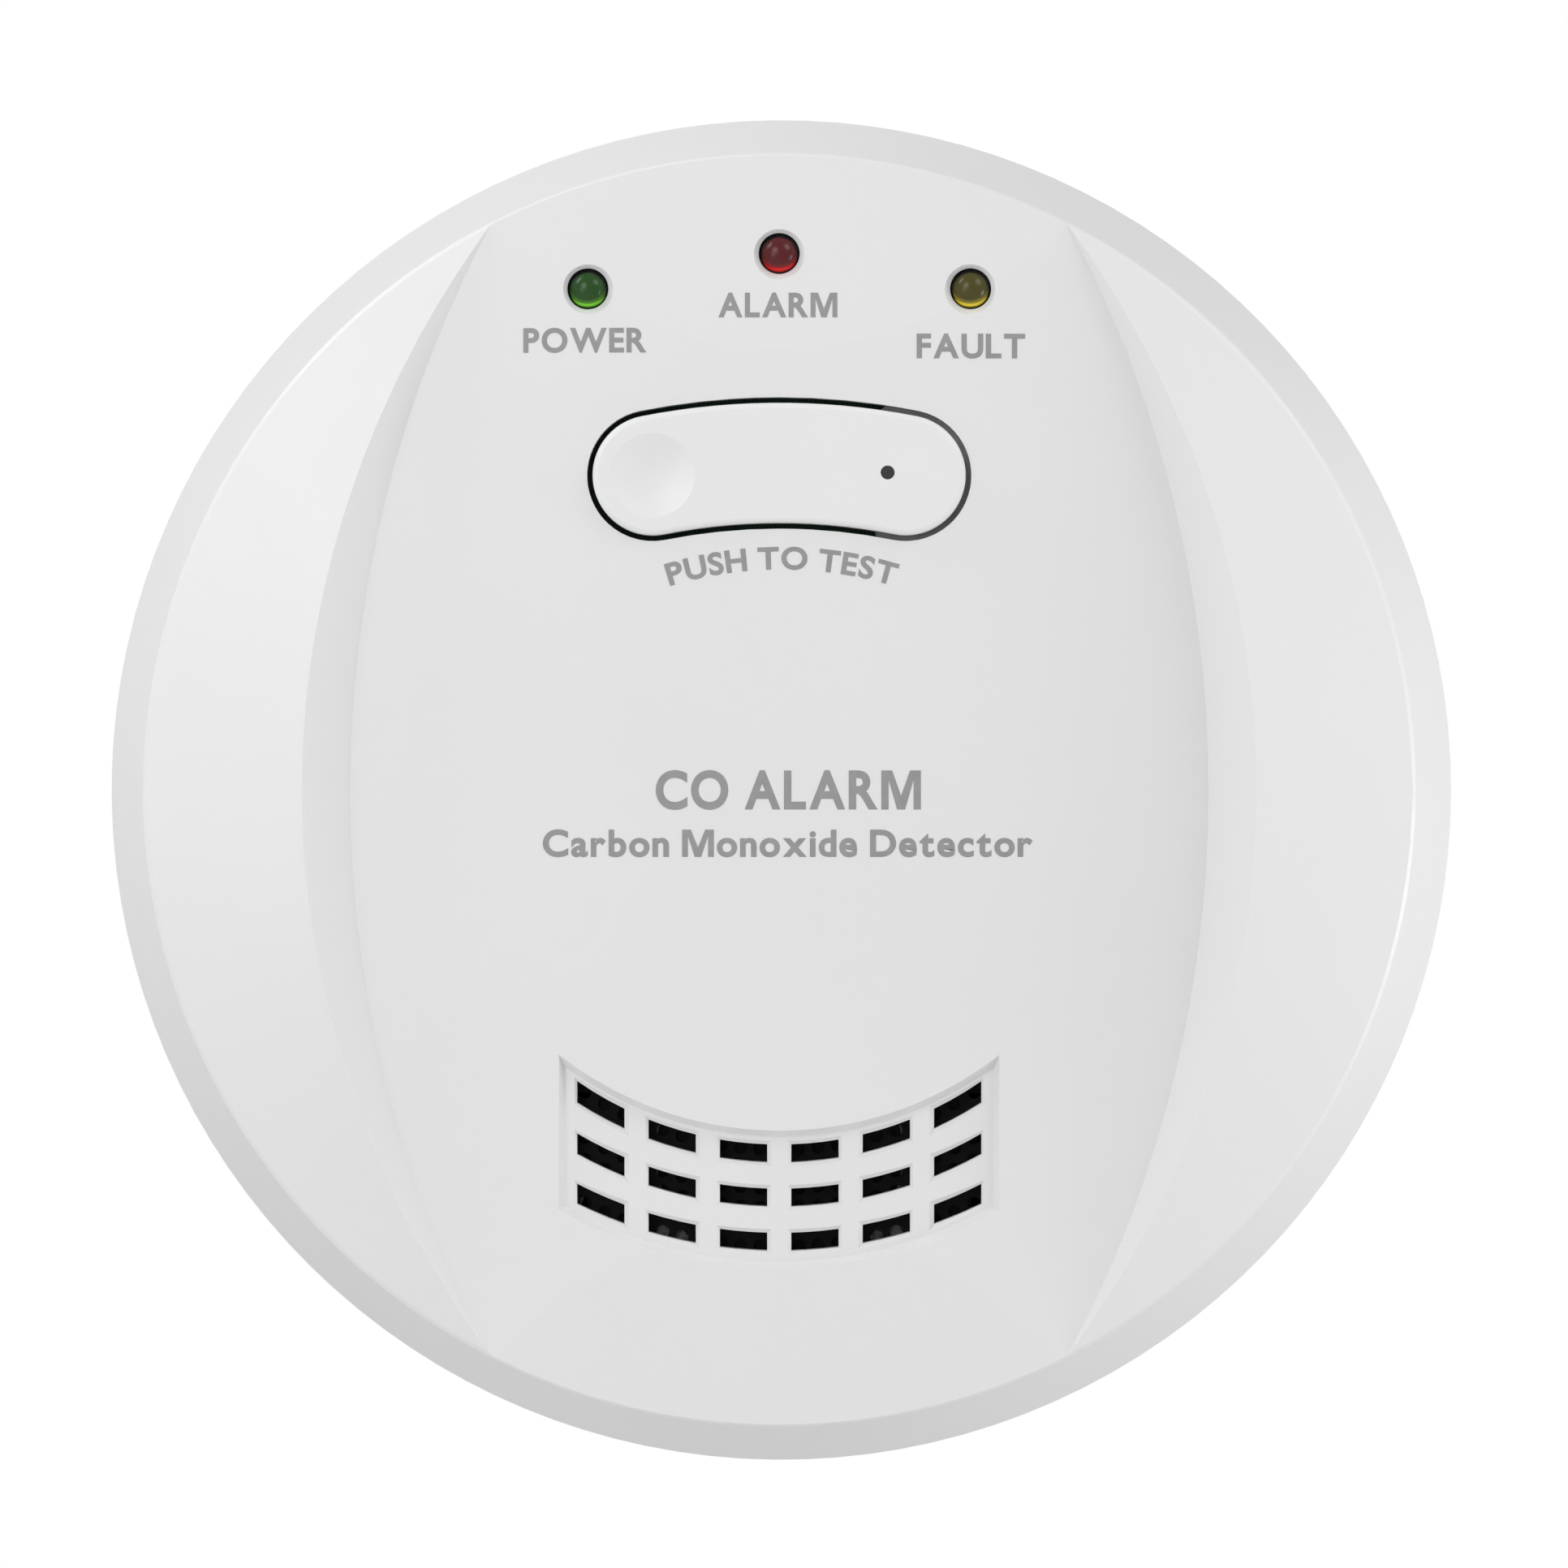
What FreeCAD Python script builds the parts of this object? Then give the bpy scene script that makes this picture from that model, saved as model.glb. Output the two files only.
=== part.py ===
import FreeCAD, Part
import math
import os

from FreeCAD import Vector

# A round carbon monoxide alarm that hangs on a wall bracket.
#
# Every piece is drawn lying on its back: x runs to the right across the face,
# y runs up the face and z comes straight out from the wall.  export_piece()
# stands the piece upright, so that the wall is the plane y = 0, z is up and the
# face looks along -Y.  Lengths are millimetres, angles are degrees.

# ---- outer form of the head ----
OUTLINE_R = 53.5          # widest circle, at the joint between the two covers
JOINT_Z = 9.2             # height of that joint above the wall
SKIRT_Z = 2.5             # lower end of the rear skirt
SKIRT_R = 52.9            # outer radius of the skirt at its lower end
RIM_R = 49.0              # circle where the side wall meets the face
RIM_Z = 35.0
RIM_FILLET = 0.5
WING_SLOPE = 15.0         # the two side wings rise inwards as one cone
COVER_WALL = 2.2

# ---- lower band down the middle of the face ----
BAND_WALL_R = 86.77       # radius of each band wall at rim height
BAND_WALL_X = 52.87       # distance of its centre from the middle of the face
BAND_WALL_RUN = 0.802     # how far the wall leans outwards per millimetre of height
BAND_CROWN_R = 300.0      # the band floor is a very large cylinder
BAND_CROWN_RISE = 0.82    # how far its middle stands above the rim
END_ZONE_SLOPE = 3.15     # shallow cone that brings the band down to the rim

# ---- test button ----
BUTTON_ARC_R = 50.2       # radius of the button's curved centre line
BUTTON_MID_Y = 25.15      # where that line crosses the middle of the face
BUTTON_HALF_ANGLE = 11.17
BUTTON_HALF_WIDTH = 4.62
BUTTON_GAP = 0.44
BUTTON_TOP_Z = 36.35
BUTTON_BASE_Z = 32.5
BUTTON_EDGE_FILLET = 0.45
DIMPLE_R = 3.25
DIMPLE_DEPTH = 0.65
PINHOLE_R = 0.54
PINHOLE_X = 8.34
PINHOLE_FLOOR_Z = 33.15
HINGE_X = 11.5
HINGE_Z = 31.3
HINGE_PIN_R = 0.75
HINGE_BLOCK_TOP_Z = 32.75
HINGE_BLOCK_HALF_WIDTH = 5.6

# ---- indicator lamps ----
LAMP_CIRCLE_R = 41.3
LAMP_STEP = 20.9          # angle between neighbouring lamps
LAMP_R = 1.5
LAMP_HOLE_R = 1.58
LAMP_SINK_R = 1.95
LAMP_SINK_DEPTH = 0.45
LAMP_TIP_Z = 35.75
LAMP_FLANGE_Z = 30.2

# ---- grille ----
GRILLE_HALF_WIDTH = 17.0
GRILLE_INNER_R = 26.45
GRILLE_OUTER_R = 36.55
GRILLE_DEPTH = 0.8
GRILLE_BEVEL = 0.5
GRILLE_BACK_Z = 33.0      # flat inner face behind the grille
SLOT_COLUMNS = 6
SLOT_PITCH = 5.5
SLOT_WIDTH = 3.65
SLOT_ROWS = 3
SLOT_FIRST_ROW_R = 28.0
SLOT_ROW_PITCH = 3.4
SLOT_HEIGHT = 1.4
SLOT_BEVEL = 0.28
MESH_THICKNESS = 0.3
MESH_HOLE_R = 0.5
MESH_PITCH = 1.5

# ---- rear cover and battery box ----
BACK_Z = 7.0
BOX_HALF_X = 30.8
BOX_LOW_Y = -19.0
BOX_HIGH_Y = 17.8
BOX_TOP_Z = 25.8
CAVITY_HALF_X = 28.3
CAVITY_HALF_Y = 15.6
CAVITY_TOP_Z = 24.6
DOOR_HALF_X = 28.8
DOOR_LOW_Y = -16.9
DOOR_HIGH_Y = 15.9
DOOR_THICKNESS = 1.8
DOOR_OPENING_HALF_X = 29.2
DOOR_OPENING_LOW_Y = -17.9
DOOR_OPENING_HIGH_Y = 16.5
DOOR_AXIS_Y = -16.0
DOOR_AXIS_Z = 8.1
DOOR_PIN_R = 0.7
DOOR_SOCKET_R = 0.76
DOOR_SWING_R = 1.9
CELL_R = 7.25
CELL_LENGTH = 50.5
CELL_Y = 7.7
CELL_Z = 17.0
CELL_TIP_X = 27.85
CONTACT_THICKNESS = 0.4
SPRING_TURNS = 3
SPRING_WIDE_R = 4.2
SPRING_NARROW_R = 2.6
SPRING_WIRE_R = 0.3

# ---- screws and bosses ----
COVER_SCREW_CIRCLE_R = 44.0
COVER_SCREW_ANGLES = (40.0, 140.0, 250.0, 290.0)
COVER_SCREW_R = 1.5
COVER_BOSS_R = 3.2
COVER_BOSS_FOOT_Z = 12.2
BOARD_SCREWS = ((37.5, 4.0), (-37.5, 4.0), (20.0, 33.0), (-20.0, 33.0))
BOARD_SCREW_R = 1.1
BOARD_BOSS_R = 2.8

# ---- circuit board ----
BOARD_R = 44.5
BOARD_BACK_Z = 26.4
BOARD_FRONT_Z = 28.0
BOARD_LOW_Y = -36.0
SENSOR_X = -23.5
SENSOR_Y = -29.5
SENSOR_R = 8.5
SOUNDER_Y = -28.0
SOUNDER_R = 15.3
SOUNDER_BACK_Z = 26.6
SOUNDER_FRONT_Z = 32.4
SOUNDER_LEAD_HOLE = (9.0, -32.0)
SOUND_HOLE_R = 0.9        # sits behind the bar between the two middle slots
HEADER_X = 21.5
HEADER_Y = -31.0

# ---- wall bracket and its twist lock ----
BRACKET_R = 50.4
BRACKET_OPENING_R = 35.5
BRACKET_PLATE = 2.2
BRACKET_FLANGE_Z = 6.0
WALL_HOLE_SPACING = 60.0
WALL_HOLE_R = 2.25
LUG_ANGLES = (0.0, 90.0, 180.0, 270.0)
LUG_HALF_ANGLE = 6.0
HOOK_HALF_ANGLE = 7.0
HOOK_STOP_ANGLE = 2.0


# ---------------------------------------------------------------- basic shapes

def box(x_from, x_to, y_from, y_to, z_from, z_to):
    corner = Vector(x_from, y_from, z_from)
    return Part.makeBox(x_to - x_from, y_to - y_from, z_to - z_from, corner)


def post(radius, x, y, z_from, z_to):
    """Cylinder standing on the face."""
    return Part.makeCylinder(radius, z_to - z_from, Vector(x, y, z_from))


def bar_along_x(radius, x_from, x_to, y, z):
    return Part.makeCylinder(radius, x_to - x_from, Vector(x_from, y, z), Vector(1, 0, 0))


def bar_along_y(radius, y_from, y_to, x, z):
    return Part.makeCylinder(radius, y_to - y_from, Vector(x, y_from, z), Vector(0, 1, 0))


def turned(profile):
    """Solid of revolution about z from a closed outline of (radius, height) corners."""
    corners = [Vector(radius, 0, height) for radius, height in profile]
    outline = Part.makePolygon(corners + corners[:1])
    return Part.Face(outline).revolve(Vector(0, 0, 0), Vector(0, 0, 1), 360)


def ring(inner_r, outer_r, z_from, z_to):
    return post(outer_r, 0, 0, z_from, z_to).cut(post(inner_r, 0, 0, z_from, z_to))


def on_circle(radius, angle):
    """x and y of a point on a circle round the middle of the face."""
    turn = math.radians(angle)
    return radius * math.cos(turn), radius * math.sin(turn)


def arc_between(centre_x, centre_y, radius, start, end, z):
    """Circular edge from one angle to another, both in degrees."""
    points = []
    for angle in (start, (start + end) / 2.0, end):
        turn = math.radians(angle)
        points.append(Vector(centre_x + radius * math.cos(turn), centre_y + radius * math.sin(turn), z))
    return Part.Arc(*points).toShape()


def prism(edges, height):
    """Closed outline of edges pushed straight up."""
    return Part.Face(Part.Wire(edges)).extrude(Vector(0, 0, height))


def ring_sector(inner_r, outer_r, middle, half_angle, z_from, z_to):
    start = middle - half_angle
    end = middle + half_angle
    outer = arc_between(0, 0, outer_r, start, end, z_from)
    inner = arc_between(0, 0, inner_r, end, start, z_from)
    side_one = Part.makeLine(outer.Vertexes[-1].Point, inner.Vertexes[0].Point)
    side_two = Part.makeLine(inner.Vertexes[-1].Point, outer.Vertexes[0].Point)
    return prism([outer, side_one, inner, side_two], z_to - z_from)


def fused(shapes):
    whole = shapes[0].multiFuse(shapes[1:])
    return whole.removeSplitter()


def half_turned(shape):
    """The same piece turned half way round the middle of the face."""
    copy = shape.copy()
    copy.rotate(Vector(0, 0, 0), Vector(0, 0, 1), 180)
    return copy


def filleted(shape, radius, wanted):
    """Round the edges for which wanted(edge) is true."""
    edges = [edge for edge in shape.Edges if wanted(edge)]
    return shape.makeFillet(radius, edges)


def wire_along(points, radius):
    """Round wire that bends smoothly through the points."""
    curve = Part.BSplineCurve()
    curve.interpolate(points)
    path = Part.Wire(curve.toShape())
    section = Part.Wire(Part.makeCircle(radius, points[0], curve.tangent(curve.FirstParameter)[0]))
    return path.makePipeShell([section], True, True)


# ------------------------------------------------------- outer form of the head

def side_radius(height):
    """Outer radius of the drafted side wall of the front cover."""
    lean = (OUTLINE_R - RIM_R) / (RIM_Z - JOINT_Z)
    return OUTLINE_R - (height - JOINT_Z) * lean


def wing_height(radius):
    return RIM_Z + (RIM_R - radius) * math.tan(math.radians(WING_SLOPE))


def band_wall(centre_x, grow):
    """Leaning round wall on one side of the band, as the cone it is part of."""
    z_from = RIM_Z - 12.0
    z_to = RIM_Z + 18.0
    low_r = BAND_WALL_R + (z_from - RIM_Z) * BAND_WALL_RUN + grow
    high_r = BAND_WALL_R + (z_to - RIM_Z) * BAND_WALL_RUN + grow
    return Part.makeCone(low_r, high_r, z_to - z_from, Vector(centre_x, 0, z_from))


def crown(inset):
    """Very large cylinder whose top is the crowned floor of the band."""
    axis_z = RIM_Z + BAND_CROWN_RISE - BAND_CROWN_R
    return bar_along_y(BAND_CROWN_R - inset, -60, 60, 0, axis_z)


def crown_height(x):
    drop = BAND_CROWN_R - math.sqrt(BAND_CROWN_R ** 2 - x ** 2)
    return RIM_Z + BAND_CROWN_RISE - drop


def band_floor(inset):
    """Everything below the floor of the band: crowned in the middle, falling to the rim."""
    fall = math.tan(math.radians(END_ZONE_SLOPE))
    wide = RIM_R + 11.0
    ends = turned([
        (0, -5),
        (wide, -5),
        (wide, RIM_Z - 11.0 * fall - inset),
        (0, RIM_Z + RIM_R * fall - inset),
    ])
    return crown(inset).common(ends)


def head_form(inset, z_from):
    """Solid form of the front cover, shrunk by inset on every outer side."""
    rim_r = RIM_R - inset
    rim_z = wing_height(rim_r) - inset / math.cos(math.radians(WING_SLOPE))
    body = turned([
        (0, z_from),
        (side_radius(z_from) - inset, z_from),
        (side_radius(rim_z) - inset, rim_z),
        (0, rim_z + (side_radius(rim_z) - inset) * math.tan(math.radians(WING_SLOPE))),
    ])
    if inset == 0:
        body = filleted(body, RIM_FILLET, lambda edge: abs(edge.BoundBox.ZMin - RIM_Z) < 0.01
                        and abs(edge.BoundBox.ZMax - RIM_Z) < 0.01)
    wall_grow = inset * math.hypot(1.0, BAND_WALL_RUN)
    band = band_wall(BAND_WALL_X, wall_grow).common(band_wall(-BAND_WALL_X, wall_grow))
    return body.cut(band.cut(band_floor(inset)))


def bean(half_width, z_from, z_to):
    """Curved bar with round ends, the outline of the test button."""
    centre_y = BUTTON_MID_Y - BUTTON_ARC_R
    start = 90.0 + BUTTON_HALF_ANGLE
    end = 90.0 - BUTTON_HALF_ANGLE
    top = arc_between(0, centre_y, BUTTON_ARC_R + half_width, start, end, z_from)
    bottom = arc_between(0, centre_y, BUTTON_ARC_R - half_width, end, start, z_from)
    right_x, left_x = button_end_x(), -button_end_x()
    right = arc_between(right_x, button_end_y(), half_width, end, end - 180.0, z_from)
    left = arc_between(left_x, button_end_y(), half_width, start + 180.0, start, z_from)
    return prism([top, right, bottom, left], z_to - z_from)


def button_end_x():
    return BUTTON_ARC_R * math.sin(math.radians(BUTTON_HALF_ANGLE))


def button_end_y():
    rise = BUTTON_ARC_R * (1.0 - math.cos(math.radians(BUTTON_HALF_ANGLE)))
    return BUTTON_MID_Y - rise


def lamp_places():
    """Middle of the green, red and yellow lamps."""
    angles = (90.0 + LAMP_STEP, 90.0, 90.0 - LAMP_STEP)
    return [on_circle(LAMP_CIRCLE_R, angle) for angle in angles]


def cover_screw_places():
    return [on_circle(COVER_SCREW_CIRCLE_R, angle) for angle in COVER_SCREW_ANGLES]


# --------------------------------------------------------------- front cover

def lamp_hole(x, y):
    surface_z = RIM_Z + (RIM_R - LAMP_CIRCLE_R) * math.tan(math.radians(END_ZONE_SLOPE))
    spread = (LAMP_SINK_R - LAMP_HOLE_R) / LAMP_SINK_DEPTH
    sink = Part.makeCone(
        LAMP_HOLE_R,
        LAMP_SINK_R + spread,
        LAMP_SINK_DEPTH + 1.0,
        Vector(x, y, surface_z - LAMP_SINK_DEPTH),
    )
    return sink.fuse(post(LAMP_HOLE_R, x, y, 30.0, surface_z))


def grille_window(grow, z_from, z_to):
    """Part of a ring between two straight sides, the outline of the grille."""
    band = ring(GRILLE_INNER_R - grow, GRILLE_OUTER_R + grow, z_from, z_to)
    half = GRILLE_HALF_WIDTH + grow
    return band.common(box(-half, half, -50, 0, z_from, z_to))


def leaning_window(inner_r, outer_r, middle_x, half_width, lean, z_from, z_to):
    """Part of a ring between two straight sides, widening by lean for each millimetre up."""
    height = z_to - z_from
    spread = lean * height
    foot = Vector(0, 0, z_from)
    outer = Part.makeCone(outer_r, outer_r + spread, height, foot)
    inner = Part.makeCone(inner_r, inner_r - spread, height, foot)
    left = middle_x - half_width
    right = middle_x + half_width
    sides = Part.makePolygon([
        Vector(left, 0, z_from),
        Vector(right, 0, z_from),
        Vector(right + spread, 0, z_to),
        Vector(left - spread, 0, z_to),
        Vector(left, 0, z_from),
    ])
    between = Part.Face(sides).extrude(Vector(0, -50, 0))
    return outer.cut(inner).common(between)


def grille_recess():
    """Shallow dish round the slots with leaning sides and a crowned floor."""
    lean = GRILLE_BEVEL / GRILLE_DEPTH
    z_from = RIM_Z - 3.0
    shrink = lean * (RIM_Z + BAND_CROWN_RISE / 2.0 - z_from)
    dish = leaning_window(
        GRILLE_INNER_R + shrink,
        GRILLE_OUTER_R - shrink,
        0,
        GRILLE_HALF_WIDTH - shrink,
        lean,
        z_from,
        RIM_Z + 3.0,
    )
    return dish.cut(crown(GRILLE_DEPTH))


def slot(column_x, row_r):
    """One slot: straight ends, curved long sides, bevelled where it meets the dish."""
    inner_r = row_r - SLOT_HEIGHT / 2.0
    outer_r = row_r + SLOT_HEIGHT / 2.0
    half_width = SLOT_WIDTH / 2.0
    band = ring(inner_r, outer_r, RIM_Z - 6.0, RIM_Z + 1.0)
    through = band.common(box(column_x - half_width, column_x + half_width, -50, 0, 0, 50))
    mouth_z = crown_height(column_x) - GRILLE_DEPTH - SLOT_BEVEL
    mouth = leaning_window(inner_r, outer_r, column_x, half_width, 1.0, mouth_z, mouth_z + 0.6)
    return through.fuse(mouth)


def grille_slots():
    slots = []
    for column in range(SLOT_COLUMNS):
        column_x = (column - (SLOT_COLUMNS - 1) / 2.0) * SLOT_PITCH
        for row in range(SLOT_ROWS):
            slots.append(slot(column_x, SLOT_FIRST_ROW_R + row * SLOT_ROW_PITCH))
    return Part.makeCompound(slots)


def hinge_ribs():
    """Two ribs behind the face that carry the button's pin."""
    middle = button_end_y()
    gap = HINGE_BLOCK_HALF_WIDTH + 0.4
    ribs = []
    for side in (-1, 1):
        edges = sorted((middle + side * gap, middle + side * (gap + 1.6)))
        ribs.append(box(HINGE_X - 2.0, HINGE_X + 2.0, edges[0], edges[1], HINGE_Z - 1.5, RIM_Z - 1.2))
    return ribs


def front_cover():
    inner_form = head_form(COVER_WALL, JOINT_Z - 1.0)
    shell = head_form(0, JOINT_Z).cut(inner_form)
    inside = inner_form.cut(box(-60, 60, -60, 60, 0, COVER_BOSS_FOOT_Z))
    additions = [grille_window(1.6, GRILLE_BACK_Z, RIM_Z + 1.0).common(inner_form)]
    for x, y in cover_screw_places():
        additions.append(post(COVER_BOSS_R, x, y, COVER_BOSS_FOOT_Z, RIM_Z + 3.0).common(inside))
    for x, y in BOARD_SCREWS:
        additions.append(post(BOARD_BOSS_R, x, y, BOARD_FRONT_Z, RIM_Z + 3.0).common(inner_form))
    additions.extend(hinge_ribs())
    cover = fused([shell] + additions)
    cover = cover.cut(bean(BUTTON_HALF_WIDTH + BUTTON_GAP, BUTTON_BASE_Z - 1.0, RIM_Z + 5.0))
    cover = cover.cut(grille_recess())
    cover = cover.cut(grille_slots())
    for x, y in lamp_places():
        cover = cover.cut(lamp_hole(x, y))
    for x, y in cover_screw_places():
        cover = cover.cut(post(COVER_SCREW_R + 0.02, x, y, COVER_BOSS_FOOT_Z, 26.0))
    for x, y in BOARD_SCREWS:
        cover = cover.cut(post(BOARD_SCREW_R + 0.02, x, y, BOARD_FRONT_Z, 32.6))
    middle = button_end_y()
    return cover.cut(bar_along_y(HINGE_PIN_R + 0.02, middle - 9, middle + 9, HINGE_X, HINGE_Z))


def insect_mesh():
    """Thin sheet with small holes lying flat behind the grille."""
    top = GRILLE_BACK_Z
    low = top - MESH_THICKNESS
    sheet = grille_window(0.9, low, top)
    holes = []
    columns = int(GRILLE_HALF_WIDTH / MESH_PITCH)
    for column in range(-columns, columns + 1):
        x = column * MESH_PITCH
        for row in range(6):
            radius = GRILLE_INNER_R + 1.3 + row * MESH_PITCH
            y = -math.sqrt(radius * radius - x * x)
            holes.append(post(MESH_HOLE_R, x, y, low, top))
    return sheet.cut(Part.makeCompound(holes))


# --------------------------------------------------------------- test button

def test_button():
    cap = bean(BUTTON_HALF_WIDTH, BUTTON_BASE_Z, BUTTON_TOP_Z)
    cap = filleted(cap, BUTTON_EDGE_FILLET, lambda edge: edge.BoundBox.ZMin > BUTTON_TOP_Z - 0.01)
    cap = cap.cut(bean(BUTTON_HALF_WIDTH - 1.4, BUTTON_BASE_Z, BUTTON_TOP_Z - 1.7))
    middle = button_end_y()
    half = HINGE_BLOCK_HALF_WIDTH
    block = box(7.4, 15.3, middle - half, middle + half, HINGE_Z - 1.3, HINGE_BLOCK_TOP_Z)
    block = filleted(block, 1.5, lambda edge: abs(edge.BoundBox.ZLength) > 1.0)
    root = bean(BUTTON_HALF_WIDTH, BUTTON_BASE_Z, BUTTON_TOP_Z - 1.6)
    root = root.common(box(7.4, 20.0, 0, 40, BUTTON_BASE_Z, BUTTON_TOP_Z))
    foot = post(1.5, -button_end_x(), middle, BUTTON_BASE_Z - 0.2, BUTTON_TOP_Z - 1.5)
    button = fused([cap, block, root, foot])
    ball_r = (DIMPLE_R ** 2 + DIMPLE_DEPTH ** 2) / (2.0 * DIMPLE_DEPTH)
    ball_z = BUTTON_TOP_Z + ball_r - DIMPLE_DEPTH
    button = button.cut(Part.makeSphere(ball_r, Vector(-button_end_x(), middle, ball_z)))
    button = button.cut(post(PINHOLE_R, PINHOLE_X, middle + 0.2, PINHOLE_FLOOR_Z, BUTTON_TOP_Z))
    return button.cut(bar_along_y(HINGE_PIN_R + 0.05, middle - 9, middle + 9, HINGE_X, HINGE_Z))


def button_hinge_pin():
    middle = button_end_y()
    return bar_along_y(HINGE_PIN_R, middle - 7.5, middle + 7.5, HINGE_X, HINGE_Z)


def switch_base():
    body = box(-3, 3, -3, 3, BOARD_FRONT_Z, 31.2)
    body = body.cut(post(1.75, 0, 0, 28.6, 31.2))
    return at_switch(body)


def switch_frame():
    plate = box(-3, 3, -3, 3, 31.2, 31.4)
    return at_switch(plate.cut(post(1.77, 0, 0, 31.2, 31.4)))


def switch_legs():
    legs = []
    for side in (-1, 1):
        edges = sorted((side * 3.0, side * 3.3))
        for y in (-2.25, 2.25):
            legs.append(box(edges[0], edges[1], y - 0.35, y + 0.35, BOARD_BACK_Z - 0.8, 30.0))
    return at_switch(Part.makeCompound(legs))


def switch_plunger():
    stem = post(1.7, 0, 0, 29.4, 32.2)
    return at_switch(filleted(stem, 0.25, lambda edge: edge.BoundBox.ZMin > 32.1))


def at_switch(shape):
    return shape.translated(Vector(-button_end_x(), button_end_y(), 0))


# --------------------------------------------------------------- indicator lamps

def lamp_lens(index):
    """Domed lens with a flange at its foot."""
    x, y = lamp_places()[index]
    dome_z = LAMP_TIP_Z - LAMP_R
    flange = post(1.95, 0, 0, LAMP_FLANGE_Z, LAMP_FLANGE_Z + 1.0)
    stem = post(LAMP_R, 0, 0, LAMP_FLANGE_Z, dome_z)
    dome = Part.makeSphere(LAMP_R, Vector(0, 0, dome_z))
    return fused([flange, stem, dome]).translated(Vector(x, y, 0))


def lamp_lead_places():
    places = []
    for x, y in lamp_places():
        places.append((x - 1.27 / 2.0, y))
        places.append((x + 1.27 / 2.0, y))
    return places


def lamp_leads():
    leads = [post(0.25, x, y, BOARD_BACK_Z - 1.0, LAMP_FLANGE_Z) for x, y in lamp_lead_places()]
    return Part.makeCompound(leads)


def lamp_spacers():
    holes = Part.makeCompound([post(0.3, x, y, 27.0, 31.0) for x, y in lamp_lead_places()])
    spacers = []
    for x, y in lamp_places():
        spacers.append(post(1.9, x, y, BOARD_FRONT_Z, LAMP_FLANGE_Z).cut(holes))
    return Part.makeCompound(spacers)


# --------------------------------------------------------------- circuit board

def main_board():
    board = post(BOARD_R, 0, 0, BOARD_BACK_Z, BOARD_FRONT_Z)
    board = board.cut(box(-17.4, 17.4, -60, -10.0, 20, 40))
    board = board.cut(box(-60, 60, -60, BOARD_LOW_Y, 20, 40))
    holes = [post(COVER_BOSS_R + 0.9, x, y, 20, 40) for x, y in cover_screw_places()]
    holes += [post(BOARD_SCREW_R + 0.3, x, y, 20, 40) for x, y in BOARD_SCREWS]
    holes += [post(0.4, x, y, 20, 40) for x, y in lamp_lead_places()]
    holes += [post(0.7, SENSOR_X + x, SENSOR_Y + y, 20, 40) for x, y in sensor_pin_places()]
    holes += [box(-28.7, -27.6, y - 1.4, y + 1.4, 20, 40) for y in (-CELL_Y, CELL_Y)]
    for side in (-1, 1):
        for y in (-2.25, 2.25):
            x = -button_end_x() + side * 3.15
            holes.append(post(0.55, x, button_end_y() + y, 20, 40))
    return board.cut(Part.makeCompound(holes))


def board_screws():
    screws = []
    for x, y in BOARD_SCREWS:
        head = post(2.3, x, y, BOARD_BACK_Z - 1.5, BOARD_BACK_Z)
        slot_cut = box(x - 0.3, x + 0.3, y - 1.6, y + 1.6, BOARD_BACK_Z - 1.5, BOARD_BACK_Z - 0.8)
        shank = post(BOARD_SCREW_R, x, y, BOARD_BACK_Z - 0.5, 32.0)
        screws.append(fused([head.cut(slot_cut), shank]))
    return Part.makeCompound(screws)


def controller_chip():
    body = box(-6.4, 6.4, -3.75, 3.75, BOARD_FRONT_Z + 0.2, BOARD_FRONT_Z + 2.5)
    body = body.cut(post(0.5, -5.2, 2.6, BOARD_FRONT_Z + 2.3, BOARD_FRONT_Z + 2.5))
    return body.translated(Vector(4.0, 6.0, 0))


def controller_pins():
    """Ten gull-wing pins along each long side of the chip."""
    pins = []
    for number in range(10):
        x = 4.0 + (number - 4.5) * 1.27
        for side in (-1, 1):
            near, middle, far = 3.75, 4.5, 5.3
            top_z = BOARD_FRONT_Z + 1.3
            shoulder = sorted((6.0 + side * near, 6.0 + side * middle))
            drop = sorted((6.0 + side * (middle - 0.25), 6.0 + side * middle))
            foot = sorted((6.0 + side * (middle - 0.25), 6.0 + side * far))
            pins.append(fused([
                box(x - 0.2, x + 0.2, shoulder[0], shoulder[1], top_z, top_z + 0.25),
                box(x - 0.2, x + 0.2, drop[0], drop[1], BOARD_FRONT_Z, top_z + 0.25),
                box(x - 0.2, x + 0.2, foot[0], foot[1], BOARD_FRONT_Z, BOARD_FRONT_Z + 0.25),
            ]))
    return Part.makeCompound(pins)


def chip_parts(places, height):
    """Small two-ended surface-mounted parts."""
    parts = [box(x - 1.0, x + 1.0, y - 0.62, y + 0.62, BOARD_FRONT_Z, BOARD_FRONT_Z + height)
             for x, y in places]
    return Part.makeCompound(parts)


def resistors():
    places = [(-14.0 + 4.0 * column, -3.0 - 2.4 * row) for column in range(5) for row in range(2)]
    return chip_parts(places, 0.5)


def ceramic_capacitors():
    places = [(20.0 + 4.0 * column, 12.0 - 3.0 * row) for column in range(2) for row in range(3)]
    return chip_parts(places, 0.9)


def clock_crystal():
    can = box(-15.0, -9.5, 5.0, 8.2, BOARD_FRONT_Z, BOARD_FRONT_Z + 1.6)
    return filleted(can, 1.2, lambda edge: abs(edge.BoundBox.ZLength) > 1.0)


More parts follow.
